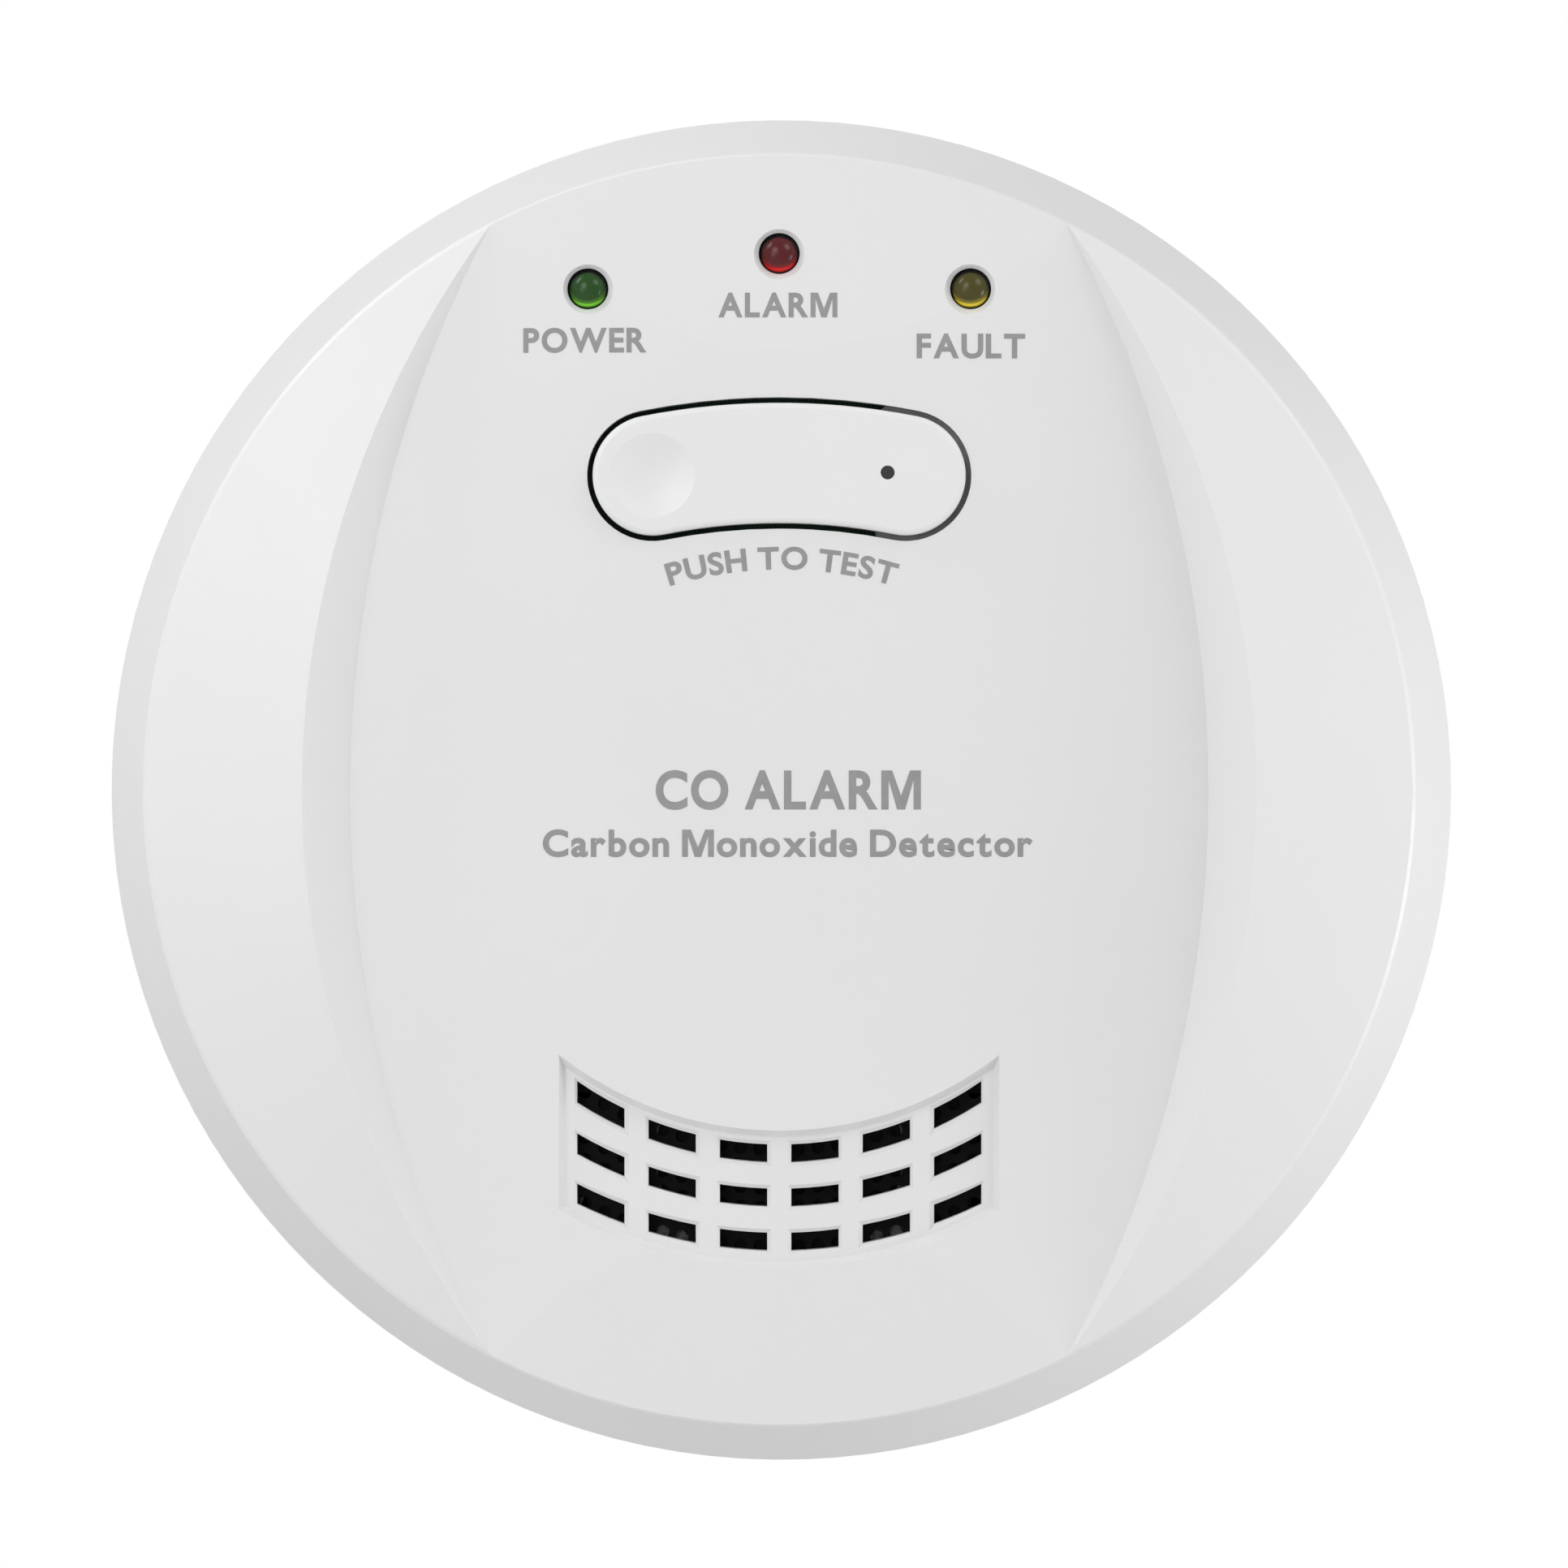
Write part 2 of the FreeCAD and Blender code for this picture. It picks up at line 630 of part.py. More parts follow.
def buffer_capacitors():
    """Two upright round capacitors on the back of the board."""
    cans = []
    for x, y in ((38.5, -17.0), (-26.0, 26.0)):
        can = post(4.0, x, y, BOARD_BACK_Z - 12.0, BOARD_BACK_Z)
        can = filleted(can, 0.5, lambda edge: edge.BoundBox.ZMax < BOARD_BACK_Z - 11.9)
        for turn in (0, 90):
            score = box(-3.0, 3.0, -0.15, 0.15, 0, 0.3)
            score.rotate(Vector(0, 0, 0), Vector(0, 0, 1), turn)
            can = can.cut(score.translated(Vector(x, y, BOARD_BACK_Z - 12.0)))
        cans.append(can)
    return Part.makeCompound(cans)


def step_up_coil():
    """Ferrite bobbin of the sounder's step-up coil, with its winding in a waist."""
    top = BOARD_BACK_Z
    bobbin = turned([
        (0, top - 10.0), (4.5, top - 10.0), (4.5, top - 8.6), (3.6, top - 8.6),
        (3.6, top - 1.6), (4.5, top - 1.6), (4.5, top), (0, top),
    ])
    return bobbin.translated(Vector(30.0, -24.0, 0))


def coil_winding():
    top = BOARD_BACK_Z
    winding = ring(3.6, 4.2, top - 8.6, top - 1.6)
    return winding.translated(Vector(30.0, -24.0, 0))


# --------------------------------------------------------------- gas sensor

def sensor_pin_places():
    return [(4.5 * math.cos(turn), 4.5 * math.sin(turn)) for turn in (0.5, 2.6, 4.7)]


def at_sensor(shape):
    return shape.translated(Vector(SENSOR_X, SENSOR_Y, 0))


def sensor_can():
    can = turned([
        (5.2, 11.4), (5.2, 11.9), (1.2, 11.9), (1.2, 12.6), (7.7, 12.6), (7.7, 24.6),
        (SENSOR_R, 24.6), (SENSOR_R, 12.0), (SENSOR_R - 0.6, 11.4),
    ])
    return at_sensor(can)


def sensor_filter():
    return at_sensor(post(5.2, 0, 0, 11.3, 11.9))


def sensor_cell():
    return at_sensor(post(7.7, 0, 0, 13.2, 24.0))


def sensor_base():
    return at_sensor(post(SENSOR_R - 0.2, 0, 0, 24.6, BOARD_BACK_Z))


def sensor_pins():
    pins = [post(0.5, x, y, BOARD_BACK_Z, BOARD_FRONT_Z + 0.8) for x, y in sensor_pin_places()]
    return at_sensor(Part.makeCompound(pins))


# --------------------------------------------------------------- sounder

def at_sounder(shape):
    return shape.translated(Vector(0, SOUNDER_Y, 0))


def sounder_case():
    """Round cup with a step inside for the sounding plate and two ears that rest on the board."""
    walls = turned([
        (12.6, SOUNDER_BACK_Z), (SOUNDER_R, SOUNDER_BACK_Z), (SOUNDER_R, 31.3), (13.9, 31.3),
        (13.9, 29.4), (12.6, 29.4),
    ])
    floor = post(12.7, 0, 0, SOUNDER_BACK_Z, 27.8)
    ears = []
    for low_x, high_x in ((-20.5, -14.3), (14.3, 20.5)):
        ear = box(low_x, high_x, 4.5, 8.0, BOARD_FRONT_Z, 29.4)
        ears.append(ear.cut(post(14.5, 0, 0, 20, 40)))
    cup = at_sounder(fused([walls, floor] + ears))
    x, y = SOUNDER_LEAD_HOLE
    return cup.cut(post(1.6, x, y, 26.0, 28.0))


def sounder_cap():
    """Front plate of the sounder with one sound hole."""
    return at_sounder(ring(SOUND_HOLE_R, SOUNDER_R, 31.3, SOUNDER_FRONT_Z))


def sounder_gasket():
    return at_sounder(turned([
        (9.5, SOUNDER_FRONT_Z), (11.5, SOUNDER_FRONT_Z), (11.5, GRILLE_BACK_Z - MESH_THICKNESS),
        (9.5, GRILLE_BACK_Z - MESH_THICKNESS),
    ]))


def piezo_plate():
    return at_sounder(post(13.7, 0, 0, 29.4, 29.65))


def piezo_ceramic():
    return at_sounder(post(9.5, 0, 0, 29.2, 29.4))


def sounder_lead(side, start_x, start_z):
    """Thin wire from the sounding plate, out through the case and across to the plug."""
    x, y = SOUNDER_LEAD_HOLE
    return wire_along([
        Vector(start_x, y + side * 0.9, start_z),
        Vector(x - 0.2, y + side * 0.7, 27.6),
        Vector(x + 0.5, y + side * 0.75, 26.0),
        Vector(x + 2.5, y + side * 0.8 + 0.3, 24.3),
        Vector(x + 6.5, HEADER_Y + side * 1.2, 23.6),
        Vector(HEADER_X - 2.56, HEADER_Y + side * 1.25, 23.6),
    ], 0.4)


def lead_plug():
    """Two-way plug on the back of the board that takes the sounder leads."""
    body = box(-2.5, 2.5, -3.5, 3.5, BOARD_BACK_Z - 5.0, BOARD_BACK_Z)
    body = filleted(body, 0.4, lambda edge: edge.BoundBox.ZMax < BOARD_BACK_Z - 4.9)
    return body.translated(Vector(HEADER_X, HEADER_Y, 0))


# --------------------------------------------------------------- rear cover

def rear_shell():
    """Back plate, outer skirt and the low ring that locates it inside the front cover."""
    plate = post(OUTLINE_R - 2.0, 0, 0, BACK_Z, JOINT_Z)
    skirt = turned([
        (SKIRT_R - 1.8, SKIRT_Z), (SKIRT_R - 0.4, SKIRT_Z), (SKIRT_R, SKIRT_Z + 0.4),
        (OUTLINE_R, JOINT_Z - 0.35), (OUTLINE_R - 0.35, JOINT_Z), (OUTLINE_R - 2.2, JOINT_Z),
    ])
    locating_ring = ring(49.4, 50.7, JOINT_Z, JOINT_Z + 2.4)
    return [plate, skirt, locating_ring]


def twist_lug(angle):
    """Short wall behind the back plate with an outward lip at its end."""
    wall = ring_sector(42.0, 43.1, angle, LUG_HALF_ANGLE, 2.8, BACK_Z + 0.5)
    lip = ring_sector(42.0, 45.2, angle, LUG_HALF_ANGLE, 2.8, 4.0)
    return [wall, lip]


def rear_cover():
    parts = rear_shell()
    parts.append(box(-BOX_HALF_X, BOX_HALF_X, BOX_LOW_Y, BOX_HIGH_Y, BACK_Z, BOX_TOP_Z))
    for angle in LUG_ANGLES:
        parts.extend(twist_lug(angle))
    for x, y in cover_screw_places():
        parts.append(post(4.4, x, y, BACK_Z, COVER_BOSS_FOOT_Z))
    cover = fused(parts)
    half_x = CAVITY_HALF_X
    half_y = CAVITY_HALF_Y
    cover = cover.cut(box(-half_x, half_x, -half_y, half_y, BACK_Z, CAVITY_TOP_Z))
    half = DOOR_OPENING_HALF_X
    cover = cover.cut(box(-half, half, DOOR_OPENING_LOW_Y, DOOR_OPENING_HIGH_Y, 0, JOINT_Z))
    cover = cover.cut(bar_along_x(DOOR_SWING_R, -half, half, DOOR_AXIS_Y, DOOR_AXIS_Z))
    cover = cover.cut(bar_along_x(DOOR_SOCKET_R, -half - 1.5, half + 1.5, DOOR_AXIS_Y, DOOR_AXIS_Z))
    finger_hollow = Part.makeSphere(9.0, Vector(0, DOOR_OPENING_HIGH_Y + 0.5, BACK_Z - 7.9))
    cover = cover.cut(finger_hollow)
    for y in (-CELL_Y, CELL_Y):
        cover = cover.cut(box(-28.5, -27.6, y - 1.3, y + 1.3, 20, BOX_TOP_Z))
    for x, y in cover_screw_places():
        cover = cover.cut(post(3.0, x, y, BACK_Z, 9.4))
        cover = cover.cut(post(1.7, x, y, BACK_Z, COVER_BOSS_FOOT_Z))
    return cover


def cover_screws():
    screws = []
    for x, y in cover_screw_places():
        head = post(2.7, x, y, 7.6, 9.4)
        cross = fused([
            box(x - 1.6, x + 1.6, y - 0.3, y + 0.3, 7.6, 8.5),
            box(x - 0.3, x + 0.3, y - 1.6, y + 1.6, 7.6, 8.5),
        ])
        shank = post(COVER_SCREW_R, x, y, 9.0, 24.5)
        screws.append(fused([head.cut(cross), shank]))
    return Part.makeCompound(screws)


def rating_label():
    return box(-20, 20, 21, 36, BACK_Z - 0.15, BACK_Z)


# --------------------------------------------------------------- batteries

def battery_cell():
    body = bar_along_x(CELL_R, CELL_TIP_X - CELL_LENGTH, CELL_TIP_X - 1.4, CELL_Y, CELL_Z)
    body = filleted(body, 0.7, lambda edge: abs(edge.BoundBox.XLength) < 0.01)
    nub = bar_along_x(2.7, CELL_TIP_X - 1.8, CELL_TIP_X, CELL_Y, CELL_Z)
    return fused([body, nub])


def battery_cells():
    cell = battery_cell()
    return Part.makeCompound([cell, half_turned(cell)])


def contact_spring():
    """Cone-shaped coil that pushes on the flat end of a cell."""
    start_x = CONTACT_THICKNESS - CAVITY_HALF_X + SPRING_WIRE_R
    end_x = CELL_TIP_X - CELL_LENGTH - SPRING_WIRE_R
    steps = SPRING_TURNS * 6
    points = []
    for step in range(steps + 1):
        along = step / steps
        turn = 2.0 * math.pi * SPRING_TURNS * along
        radius = SPRING_WIDE_R + (SPRING_NARROW_R - SPRING_WIDE_R) * along
        points.append(Vector(
            start_x + (end_x - start_x) * along,
            CELL_Y + radius * math.cos(turn),
            CELL_Z + radius * math.sin(turn),
        ))
    return wire_along(points, SPRING_WIRE_R)


def contact_springs():
    spring = contact_spring()
    return Part.makeCompound([spring, half_turned(spring)])


def contact_link():
    """Plate that joins both cells at one end."""
    face_x = CAVITY_HALF_X - CONTACT_THICKNESS
    return box(face_x, CAVITY_HALF_X, -13.5, 13.5, 11.5, 22.5)


def contact_terminals():
    """One plate for each cell with a tab that reaches the board."""
    face_x = -CAVITY_HALF_X
    back_x = face_x + CONTACT_THICKNESS
    plates = []
    for y in (-CELL_Y, CELL_Y):
        plate = box(face_x, back_x, y - 5.5, y + 5.5, 11.5, 22.5)
        tab = box(face_x, back_x, y - 1.0, y + 1.0, 22.0, BOARD_FRONT_Z + 0.6)
        plates.append(fused([plate, tab]))
    return Part.makeCompound(plates)


def battery_door():
    top_z = BACK_Z + DOOR_THICKNESS
    door = box(-DOOR_HALF_X, DOOR_HALF_X, DOOR_LOW_Y, DOOR_HIGH_Y, BACK_Z, top_z)
    ridges = [box(-7, 7, 9.0 + 1.6 * row, 9.8 + 1.6 * row, BACK_Z - 0.5, BACK_Z + 0.1) for row in range(3)]
    pins = [bar_along_x(DOOR_PIN_R, -DOOR_HALF_X - 1.4, DOOR_HALF_X + 1.4, DOOR_AXIS_Y, DOOR_AXIS_Z)]
    return fused([door] + ridges + pins)


def door_foam():
    """Two soft strips that stop the cells rattling."""
    low = BACK_Z + DOOR_THICKNESS
    strips = [box(x - 4, x + 4, -12.5, 12.5, low, low + 0.7) for x in (-14.0, 14.0)]
    return Part.makeCompound(strips)


# --------------------------------------------------------------- wall bracket

def bracket_hook(angle):
    """Post, inward lip and end stop that hold one lug of the head."""
    wall = ring_sector(45.6, 47.0, angle, HOOK_HALF_ANGLE, BRACKET_PLATE - 0.5, 5.6)
    lip = ring_sector(43.5, 47.0, angle, HOOK_HALF_ANGLE, 4.4, 5.6)
    stop_middle = angle - HOOK_HALF_ANGLE - HOOK_STOP_ANGLE / 2.0
    stop = ring_sector(42.0, 47.0, stop_middle, HOOK_STOP_ANGLE / 2.0, BRACKET_PLATE - 0.5, 5.6)
    return [wall, lip, stop]


def wall_hole_places():
    half = WALL_HOLE_SPACING / 2.0
    return [(x, y) for x in (-half, half) for y in (-half, half)]


def mounting_bracket():
    plate = ring(BRACKET_OPENING_R, BRACKET_R, 0, BRACKET_PLATE)
    flange = ring(BRACKET_R - 1.6, BRACKET_R, 0, BRACKET_FLANGE_Z)
    collar = ring(BRACKET_OPENING_R, BRACKET_OPENING_R + 1.4, 0, 4.2)
    parts = [plate, flange, collar]
    for angle in LUG_ANGLES:
        parts.extend(bracket_hook(angle))
    bracket = fused(parts)
    holes = [post(WALL_HOLE_R, x, y, 0, BRACKET_PLATE) for x, y in wall_hole_places()]
    return bracket.cut(Part.makeCompound(holes))


# --------------------------------------------------------------- output

PIECES = {
    "mounting_bracket": mounting_bracket,
    "front_cover": front_cover,
    "rear_cover": rear_cover,
    "cover_screws": cover_screws,
    "rating_label": rating_label,
    "insect_mesh": insect_mesh,
    "test_button": test_button,
    "button_hinge_pin": button_hinge_pin,
    "switch_base": switch_base,
    "switch_frame": switch_frame,
    "switch_legs": switch_legs,
    "switch_plunger": switch_plunger,
    "power_lamp_green": lambda: lamp_lens(0),
    "alarm_lamp_red": lambda: lamp_lens(1),
    "fault_lamp_yellow": lambda: lamp_lens(2),
    "lamp_leads": lamp_leads,
    "lamp_spacers": lamp_spacers,
    "main_board": main_board,
    "board_screws": board_screws,
    "controller_chip": controller_chip,
    "controller_pins": controller_pins,
    "resistors": resistors,
    "ceramic_capacitors": ceramic_capacitors,
    "clock_crystal": clock_crystal,
    "buffer_capacitors": buffer_capacitors,
    "step_up_coil": step_up_coil,
    "coil_winding": coil_winding,
    "sensor_can": sensor_can,
    "sensor_filter": sensor_filter,
    "sensor_cell": sensor_cell,
    "sensor_base": sensor_base,
    "sensor_pins": sensor_pins,
    "sounder_case": sounder_case,
    "sounder_cap": sounder_cap,
    "sounder_gasket": sounder_gasket,
    "piezo_plate": piezo_plate,
    "piezo_ceramic": piezo_ceramic,
    "sounder_lead_red": lambda: sounder_lead(1, 8.0, 29.0),
    "sounder_lead_black": lambda: sounder_lead(-1, 9.0, 29.25),
    "lead_plug": lead_plug,
    "battery_cells": battery_cells,
    "contact_springs": contact_springs,
    "contact_link": contact_link,
    "contact_terminals": contact_terminals,
    "battery_door": battery_door,
    "door_foam": door_foam,
}


def export_piece(name, shape):
    """Stand the piece upright and write it out."""
    upright = shape.copy()
    upright.rotate(Vector(0, 0, 0), Vector(1, 0, 0), 90)
    upright.exportStep(os.path.join("parts", name + ".step"))


os.makedirs("parts", exist_ok=True)
for piece_name, make_piece in PIECES.items():
    export_piece(piece_name, make_piece())
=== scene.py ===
import math

import bmesh
import bpy
from mathutils import Matrix, Vector
from mathutils.bvhtree import BVHTree
from mathutils.noise import noise_vector


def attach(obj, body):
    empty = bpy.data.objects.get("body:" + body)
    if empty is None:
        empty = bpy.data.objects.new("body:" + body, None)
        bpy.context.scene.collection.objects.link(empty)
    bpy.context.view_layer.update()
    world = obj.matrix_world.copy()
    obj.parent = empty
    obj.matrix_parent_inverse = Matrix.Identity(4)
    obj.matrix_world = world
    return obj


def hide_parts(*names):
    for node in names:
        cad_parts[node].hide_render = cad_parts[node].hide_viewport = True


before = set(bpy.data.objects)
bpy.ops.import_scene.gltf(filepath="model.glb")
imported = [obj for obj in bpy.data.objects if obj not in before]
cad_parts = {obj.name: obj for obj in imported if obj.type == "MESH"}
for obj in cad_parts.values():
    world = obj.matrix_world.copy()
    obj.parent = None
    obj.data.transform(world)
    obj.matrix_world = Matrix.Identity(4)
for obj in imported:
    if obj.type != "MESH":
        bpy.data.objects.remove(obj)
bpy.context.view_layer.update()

# A round carbon monoxide alarm on its wall bracket.  Everything is in metres, in the
# model's own frame: x to the right of the face, z up, and the face looks along -y.

MM = 0.001

# ---- camera ----
CAMERA_DISTANCE = 720 * MM       # from the wall plane
CAMERA_SIDE = 4.0 * MM           # how far it stands to the right of the middle
CAMERA_AIM = (0.29 * MM, -20 * MM, 0.47 * MM)
CAMERA_LENS = 204.3              # on a 36 mm sensor


# ---- floor and surroundings ----
SURROUNDINGS = (0.61, 0.61, 0.61)
WHITE = (1.0, 1.0, 1.0)
FLOOR_R = 1.0
FLOOR_DROP = 0.26                # below the middle of the alarm
LIGHT_SIZE = 0.35
LIGHT_AIM = Vector((0, -0.02, 0))

# ---- indicator lamps ----
LAMP_CIRCLE_R = 41.3 * MM
LAMP_STEP = math.radians(20.9)
LENS_PAINTED_GLOW_DROP = 0.62 * MM        # the painted highlight, a bright arc in a lens, is drawn round a point this far above it
LENS_PAINTED_SHADOW_DROP = 0.13 * MM        # the painted shadow, a dark rim, is drawn round a point this far below the middle
LAMP_TIP_Y = -35.75 * MM

# ---- printed legends ----
INK_THICKNESS = 0.03 * MM
INK_SINK = 0.01 * MM             # how far the ink reaches into the plastic under it
TEST_ARC_R = 29.5 * MM           # the words under the button follow this arc
LETTER_BOLDNESS = 0.03           # outward growth of the built-in letters
CAP_HEIGHT = 0.682 + 2 * LETTER_BOLDNESS   # of the built-in letters, in their own units
LETTER_GAP = 0.075
LETTER_SPACE = 0.27

# ---- foam and felt ----
FOAM_PORE_SCALE = 1500.0         # pores per metre
FOAM_PORE_DEPTH = 0.03 * MM


# ------------------------------------------------------------------ small helpers

def new_piece(name, mesh, body, material):
    """Put a mesh in the scene as a piece that rides on a body."""
    piece = bpy.data.objects.new(name, mesh)
    bpy.context.scene.collection.objects.link(piece)
    mesh.materials.clear()
    mesh.materials.append(material)
    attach(piece, body)
    return piece


def node_tree(name):
    """A new material with its node tree and its shader."""
    material = bpy.data.materials.new(name)
    material.use_nodes = True
    tree = material.node_tree
    shader = tree.nodes["Principled BSDF"]
    return material, tree, shader


def object_point(tree):
    return tree.nodes.new("ShaderNodeTexCoord").outputs["Object"]


def noise(tree, scale, detail=2.0, roughness=0.5):
    """Noise whose scale is in cycles per metre of the object."""
    texture = tree.nodes.new("ShaderNodeTexNoise")
    texture.inputs["Scale"].default_value = scale
    texture.inputs["Detail"].default_value = detail
    texture.inputs["Roughness"].default_value = roughness
    tree.links.new(object_point(tree), texture.inputs["Vector"])
    return texture.outputs["Fac"]


def ramp(tree, factor, stops):
    """Colour ramp through (position, colour) stops."""
    node = tree.nodes.new("ShaderNodeValToRGB")
    elements = node.color_ramp.elements
    while len(elements) < len(stops):
        elements.new(0.5)
    for element, (position, colour) in zip(elements, stops):
        element.position = position
        element.color = (*colour, 1.0)
    tree.links.new(factor, node.inputs["Fac"])
    return node.outputs["Color"]


def spread(tree, factor, low, high):
    """Stretch a 0-1 noise onto a range of values."""
    node = tree.nodes.new("ShaderNodeMapRange")
    node.inputs["To Min"].default_value = low
    node.inputs["To Max"].default_value = high
    tree.links.new(factor, node.inputs["Value"])
    return node.outputs["Result"]


def bump(tree, shader, height, strength, distance):
    node = tree.nodes.new("ShaderNodeBump")
    node.inputs["Strength"].default_value = strength
    node.inputs["Distance"].default_value = distance
    tree.links.new(height, node.inputs["Height"])
    tree.links.new(node.outputs["Normal"], shader.inputs["Normal"])


def shades(colour, amount):
    """A slightly darker and a slightly lighter copy of a colour."""
    darker = tuple(max(0.0, part * (1.0 - amount)) for part in colour)
    lighter = tuple(min(1.0, part * (1.0 + amount)) for part in colour)
    return darker, lighter


def plain_finish(name, colour, roughness, metallic=0.0, vary=0.06, patch=60.0, grain=4000.0,
                 grain_depth=0.01 * MM, grain_strength=0.15):
    """General moulded, painted or plated surface: soft colour patches and a fine grain."""
    material, tree, shader = node_tree(name)
    darker, lighter = shades(colour, vary)
    patches = ramp(tree, noise(tree, patch), [(0.3, darker), (0.7, lighter)])
    sheen = spread(tree, noise(tree, patch * 6.0), roughness - 0.05, roughness + 0.05)
    tree.links.new(patches, shader.inputs["Base Color"])
    tree.links.new(sheen, shader.inputs["Roughness"])
    shader.inputs["Metallic"].default_value = metallic
    bump(tree, shader, noise(tree, grain, 3.0), grain_strength, grain_depth)
    return material


# ------------------------------------------------------------------ materials

def white_plastic(name, colour):
    """Satin white ABS with a very fine moulded grain."""
    return plain_finish(name, colour, 0.42, vary=0.008, patch=35.0, grain=5200.0,
                        grain_depth=0.004 * MM, grain_strength=0.12)


def brushed_metal(name, colour, roughness=0.3):
    return plain_finish(name, colour, roughness, metallic=1.0, vary=0.1, patch=400.0, grain=9000.0,
                        grain_depth=0.003 * MM)


def circuit_board_finish():
    """Green solder mask over faint tracks, with a glass-cloth weave showing through."""
    material, tree, shader = node_tree("circuit_board")
    weave = tree.nodes.new("ShaderNodeTexWave")
    weave.inputs["Scale"].default_value = 900.0
    weave.inputs["Distortion"].default_value = 1.5
    tree.links.new(object_point(tree), weave.inputs["Vector"])
    mask = ramp(tree, weave.outputs["Fac"], [(0.35, (0.012, 0.11, 0.035)), (0.65, (0.02, 0.16, 0.055))])
    tree.links.new(mask, shader.inputs["Base Color"])
    tree.links.new(spread(tree, noise(tree, 300.0), 0.25, 0.4), shader.inputs["Roughness"])
    bump(tree, shader, weave.outputs["Fac"], 0.2, 0.02 * MM)
    return material


def distance_across_face(tree, centre):
    """Distance from the line through centre that runs straight out of the face."""
    offset = tree.nodes.new("ShaderNodeVectorMath")
    offset.operation = "SUBTRACT"
    offset.inputs[1].default_value = centre
    tree.links.new(object_point(tree), offset.inputs[0])
    flattened = tree.nodes.new("ShaderNodeVectorMath")
    flattened.operation = "MULTIPLY"
    flattened.inputs[1].default_value = (1.0, 0.0, 1.0)
    tree.links.new(offset.outputs["Vector"], flattened.inputs[0])
    length = tree.nodes.new("ShaderNodeVectorMath")
    length.operation = "LENGTH"
    tree.links.new(flattened.outputs["Vector"], length.inputs[0])
    return length.outputs["Value"]


def remap(tree, value, low, high):
    """Bring a range of values onto 0-1."""
    node = tree.nodes.new("ShaderNodeMapRange")
    node.inputs["From Min"].default_value = low
    node.inputs["From Max"].default_value = high
    tree.links.new(value, node.inputs["Value"])
    return node.outputs["Result"]


def lens_finish(name, centre, dark, painted_glow):
    """Tinted clear dome: deep colour, a painted highlight in an arc low down standing in for light
    gathered by the dome, and a painted shadow as a black upper rim.
    """
    material, tree, shader = node_tree(name)
    # Painted highlight: a bright arc low in the lens, in place of the light the dome gathers.
    painted_glow_centre = centre + Vector((-0.05 * MM, 0, LENS_PAINTED_GLOW_DROP))
    arc = remap(tree, distance_across_face(tree, painted_glow_centre), 1.0 * MM, 2.2 * MM)
    # Painted shadow: a black rim round the upper edge, where the hole shades the recessed lens.
    painted_shadow_centre = centre - Vector((0, 0, LENS_PAINTED_SHADOW_DROP))
    painted_shadow_rim = remap(tree, distance_across_face(tree, painted_shadow_centre), 1.30 * MM, 1.42 * MM)
    painted_half_glow = tuple(0.75 * a + 0.25 * b for a, b in zip(dark, painted_glow))
    stops = [
        (0.0, dark), (0.4, dark), (0.62, painted_half_glow), (0.7, painted_glow),
        (0.78, painted_glow), (0.86, painted_half_glow), (0.95, dark),
    ]
    body = ramp(tree, arc, stops)
    # Mix the painted shadow's black over the lens colour.
    with_painted_shadow = tree.nodes.new("ShaderNodeMixRGB")
    tree.links.new(painted_shadow_rim, with_painted_shadow.inputs["Fac"])
    tree.links.new(body, with_painted_shadow.inputs["Color1"])
    with_painted_shadow.inputs["Color2"].default_value = (0.004, 0.004, 0.004, 1.0)
    tree.links.new(with_painted_shadow.outputs["Color"], shader.inputs["Base Color"])
    tree.links.new(spread(tree, noise(tree, 1500.0), 0.2, 0.27), shader.inputs["Roughness"])
    shader.inputs["Specular IOR Level"].default_value = 0.3
    return material


def foam_finish(name, colour):
    """Open-pored soft material: small pores sunk by the bump and darkened with painted shade, over a
    dull, uneven colour.
    """
    material, tree, shader = node_tree(name)
    pores = tree.nodes.new("ShaderNodeTexVoronoi")
    pores.inputs["Scale"].default_value = 2500.0
    tree.links.new(object_point(tree), pores.inputs["Vector"])
    darker, lighter = shades(colour, 0.45)
    # Painted shade: the colour darkens towards the middle of each pore, where the bump sinks it.
    pores_with_painted_shade = ramp(tree, pores.outputs["Distance"], [(0.1, darker), (0.6, lighter)])
    tree.links.new(pores_with_painted_shade, shader.inputs["Base Color"])
    tree.links.new(spread(tree, noise(tree, 900.0), 0.85, 1.0), shader.inputs["Roughness"])
    shader.inputs["Sheen Weight"].default_value = 0.2
    bump(tree, shader, pores.outputs["Distance"], 0.8, 0.1 * MM)
    return material


def ink_finish(name, colour):
    return plain_finish(name, colour, 0.5, vary=0.05, patch=900.0, grain=7000.0, grain_depth=0.002 * MM)


# ------------------------------------------------------------------ pieces

def lamp_centres():
    """Middle of the green, red and yellow lamps at the tip of the dome."""
    centres = []
    for step in (1, 0, -1):
        angle = math.pi / 2 + step * LAMP_STEP
        x = LAMP_CIRCLE_R * math.cos(angle)
        z = LAMP_CIRCLE_R * math.sin(angle)
        centres.append(Vector((x, LAMP_TIP_Y, z)))
    return centres


def face_surface():
    """Search tree over the front cover, to lay the print on it."""
    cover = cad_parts["front_cover"]
    vertices = [cover.matrix_world @ vertex.co for vertex in cover.data.vertices]
    polygons = [tuple(polygon.vertices) for polygon in cover.data.polygons]
    return BVHTree.FromPolygons(vertices, polygons)


def glyph_mesh(character):
    """Flat bold outline of one letter, filled and one unit thick."""
    if character == "M":
        return capital_m()
    curve = bpy.data.curves.new("letter", "FONT")
    curve.body = character
    curve.offset = LETTER_BOLDNESS
    curve.extrude = 0.5
    curve.resolution_u = 6
    holder = bpy.data.objects.new("letter", curve)
    bpy.context.scene.collection.objects.link(holder)
    bpy.context.view_layer.update()
    evaluated = holder.evaluated_get(bpy.context.evaluated_depsgraph_get())
    mesh = bpy.data.meshes.new_from_object(evaluated)
    bpy.data.objects.remove(holder)
    bpy.data.curves.remove(curve)
    return mesh


